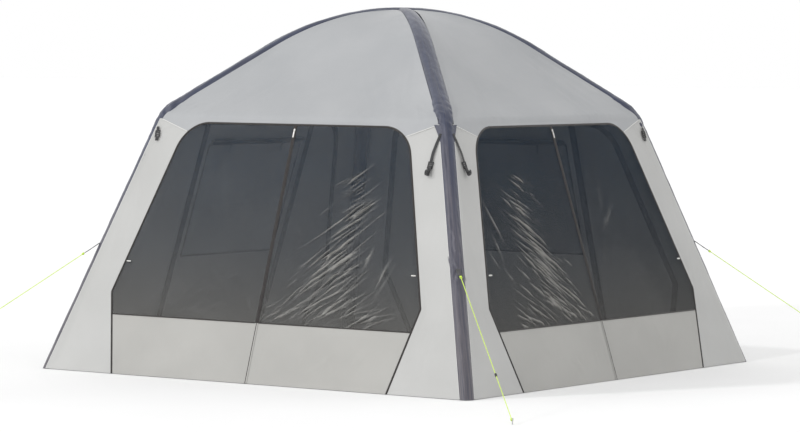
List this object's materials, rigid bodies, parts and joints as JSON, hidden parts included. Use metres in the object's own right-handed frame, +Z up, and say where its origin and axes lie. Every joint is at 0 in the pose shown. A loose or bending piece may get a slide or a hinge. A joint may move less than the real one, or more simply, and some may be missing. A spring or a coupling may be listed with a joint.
{
  "type": "screen house",
  "caption": "Square inflatable screen house: curved air beams at the corners carry a grey fabric roof, with zipped mesh doors, solid walls with windows, and guy lines.",
  "frame": {"origin": "centre of the square footprint, on the ground", "axes": "+Z up; the front mesh wall faces -Y, the right mesh wall faces +X, the rear solid wall +Y and the left solid wall -X"},
  "size_m": [4.517, 4.517, 2.1736],
  "materials": {
    "roof_fabric": "coated polyester",
    "wall_fabric": "coated polyester",
    "band_fabric": "coated polyester",
    "beam_sleeve": "dark ripstop",
    "insect_mesh": "fine knitted mesh",
    "zip_tape": "coil zip on dark tape",
    "webbing": "woven strap",
    "guy_cord": "braided cord",
    "air_film": "clear film, milky",
    "white_plastic": "moulded",
    "pale_plastic": "moulded",
    "black_plastic": "moulded",
    "steel": "round bar"
  },
  "bodies": {
    "canopy": {"beam_sleeve_front_right": "beam_sleeve", "beam_sleeve_rear_right": "beam_sleeve", "beam_sleeve_rear_left": "beam_sleeve", "beam_sleeve_front_left": "beam_sleeve", "air_tube_front_right": "air_film", "air_tube_rear_right": "air_film", "air_tube_rear_left": "air_film", "air_tube_front_left": "air_film", "apex_air_joint": "air_film", "air_valve": "white_plastic", "roof_panel_front": "roof_fabric", "roof_panel_right": "roof_fabric", "roof_panel_rear": "roof_fabric", "roof_panel_left": "roof_fabric", "corner_panels_front_right": "wall_fabric", "corner_panels_rear_right": "wall_fabric", "corner_panels_rear_left": "wall_fabric", "corner_panels_front_left": "wall_fabric", "wall_zips": "zip_tape", "rear_side_panels": "wall_fabric", "left_side_panels": "wall_fabric", "shoulder_straps": "webbing", "strap_buckles": "black_plastic", "guy_loops": "webbing", "guy_line_front_right": "guy_cord", "guy_line_front_left": "guy_cord", "guy_line_rear_right": "guy_cord", "guy_pegs": "steel"},
    "front_leaf_left": {"front_mesh_left": "insect_mesh", "front_skirt_left": "band_fabric", "front_toggle_left": "pale_plastic", "front_centre_zip": "zip_tape"},
    "front_leaf_right": {"front_mesh_right": "insect_mesh", "front_skirt_right": "band_fabric", "front_toggle_right": "pale_plastic"},
    "front_slider": {"front_zip_slider": "pale_plastic"},
    "right_leaf_left": {"right_mesh_left": "insect_mesh", "right_skirt_left": "band_fabric", "right_toggle_left": "pale_plastic", "right_centre_zip": "zip_tape"},
    "right_leaf_right": {"right_mesh_right": "insect_mesh", "right_skirt_right": "band_fabric", "right_toggle_right": "pale_plastic"},
    "right_slider": {"right_zip_slider": "pale_plastic"},
    "rear_awning": {"rear_door_panel": "wall_fabric", "rear_window": "insect_mesh", "rear_blind": "band_fabric", "rear_blind_ties": "webbing"},
    "rear_slider_left_body": {"rear_slider_left": "black_plastic"},
    "rear_slider_right_body": {"rear_slider_right": "black_plastic"},
    "left_awning": {"left_door_panel": "wall_fabric", "left_window": "insect_mesh", "left_blind": "band_fabric", "left_blind_ties": "webbing"},
    "left_slider_left_body": {"left_slider_left": "black_plastic"},
    "left_slider_right_body": {"left_slider_right": "black_plastic"},
    "runner_front_right": {"guy_runner_front_right": "black_plastic"},
    "runner_front_left": {"guy_runner_front_left": "black_plastic"},
    "runner_rear_right": {"guy_runner_rear_right": "black_plastic"},
    "cap": {"valve_cap": "black_plastic"}
  },
  "joints": [
    {"name": "front_leaf_left_swing", "type": "hinge", "parent": "canopy", "child": "front_leaf_left", "pos_m": [-0.99178, -1.27338, 0.85643], "axis": [-0.2858, -0.2945, -0.9119], "range_deg": [0, 90]},
    {"name": "front_leaf_right_swing", "type": "hinge", "parent": "canopy", "child": "front_leaf_right", "pos_m": [0.99178, -1.27338, 0.85643], "axis": [-0.2858, 0.2945, 0.9119], "range_deg": [0, 90]},
    {"name": "front_zip_run", "type": "slide", "parent": "front_leaf_left", "child": "front_slider", "axis": [0, -0.3074, -0.9516], "range_m": [0, 1.46]},
    {"name": "right_leaf_left_swing", "type": "hinge", "parent": "canopy", "child": "right_leaf_left", "pos_m": [1.27338, -0.99178, 0.85643], "axis": [0.2945, -0.2858, -0.9119], "range_deg": [0, 90]},
    {"name": "right_leaf_right_swing", "type": "hinge", "parent": "canopy", "child": "right_leaf_right", "pos_m": [1.27338, 0.99178, 0.85643], "axis": [-0.2945, -0.2858, 0.9119], "range_deg": [0, 90]},
    {"name": "right_zip_run", "type": "slide", "parent": "right_leaf_left", "child": "right_slider", "axis": [0.3074, 0, -0.9516], "range_m": [0, 1.46]},
    {"name": "rear_door_lift", "type": "hinge", "parent": "canopy", "child": "rear_awning", "pos_m": [0, 1.07437, 1.47259], "axis": [1, 0, 0], "range_deg": [0, 100]},
    {"name": "rear_zip_run_left", "type": "slide", "parent": "canopy", "child": "rear_slider_left_body", "axis": [0, -0.3074, 0.9516], "range_m": [0, 1.46]},
    {"name": "rear_zip_run_right", "type": "slide", "parent": "canopy", "child": "rear_slider_right_body", "axis": [0, -0.3074, 0.9516], "range_m": [0, 1.46]},
    {"name": "left_door_lift", "type": "hinge", "parent": "canopy", "child": "left_awning", "pos_m": [-1.07437, 0, 1.47259], "axis": [0, 1, 0], "range_deg": [0, 100]},
    {"name": "left_zip_run_left", "type": "slide", "parent": "canopy", "child": "left_slider_left_body", "axis": [0.3074, 0, 0.9516], "range_m": [0, 1.46]},
    {"name": "left_zip_run_right", "type": "slide", "parent": "canopy", "child": "left_slider_right_body", "axis": [0.3074, 0, 0.9516], "range_m": [0, 1.46]},
    {"name": "guy_runner_front_right_slide", "type": "slide", "parent": "canopy", "child": "runner_front_right", "axis": [-0.6452, 0.6452, 0.4091], "range_m": [-0.3, 0.7]},
    {"name": "guy_runner_front_left_slide", "type": "slide", "parent": "canopy", "child": "runner_front_left", "axis": [0.5905, 0.5905, 0.5502], "range_m": [-0.25, 0.5]},
    {"name": "guy_runner_rear_right_slide", "type": "slide", "parent": "canopy", "child": "runner_rear_right", "axis": [-0.5905, -0.5905, 0.5502], "range_m": [-0.25, 0.5]},
    {"name": "valve_cap_hinge", "type": "hinge", "parent": "canopy", "child": "cap", "pos_m": [-1.37899, 1.37899, 0.2732], "axis": [-0.7071, -0.7071, 0], "range_deg": [0, 110]}
  ]
}
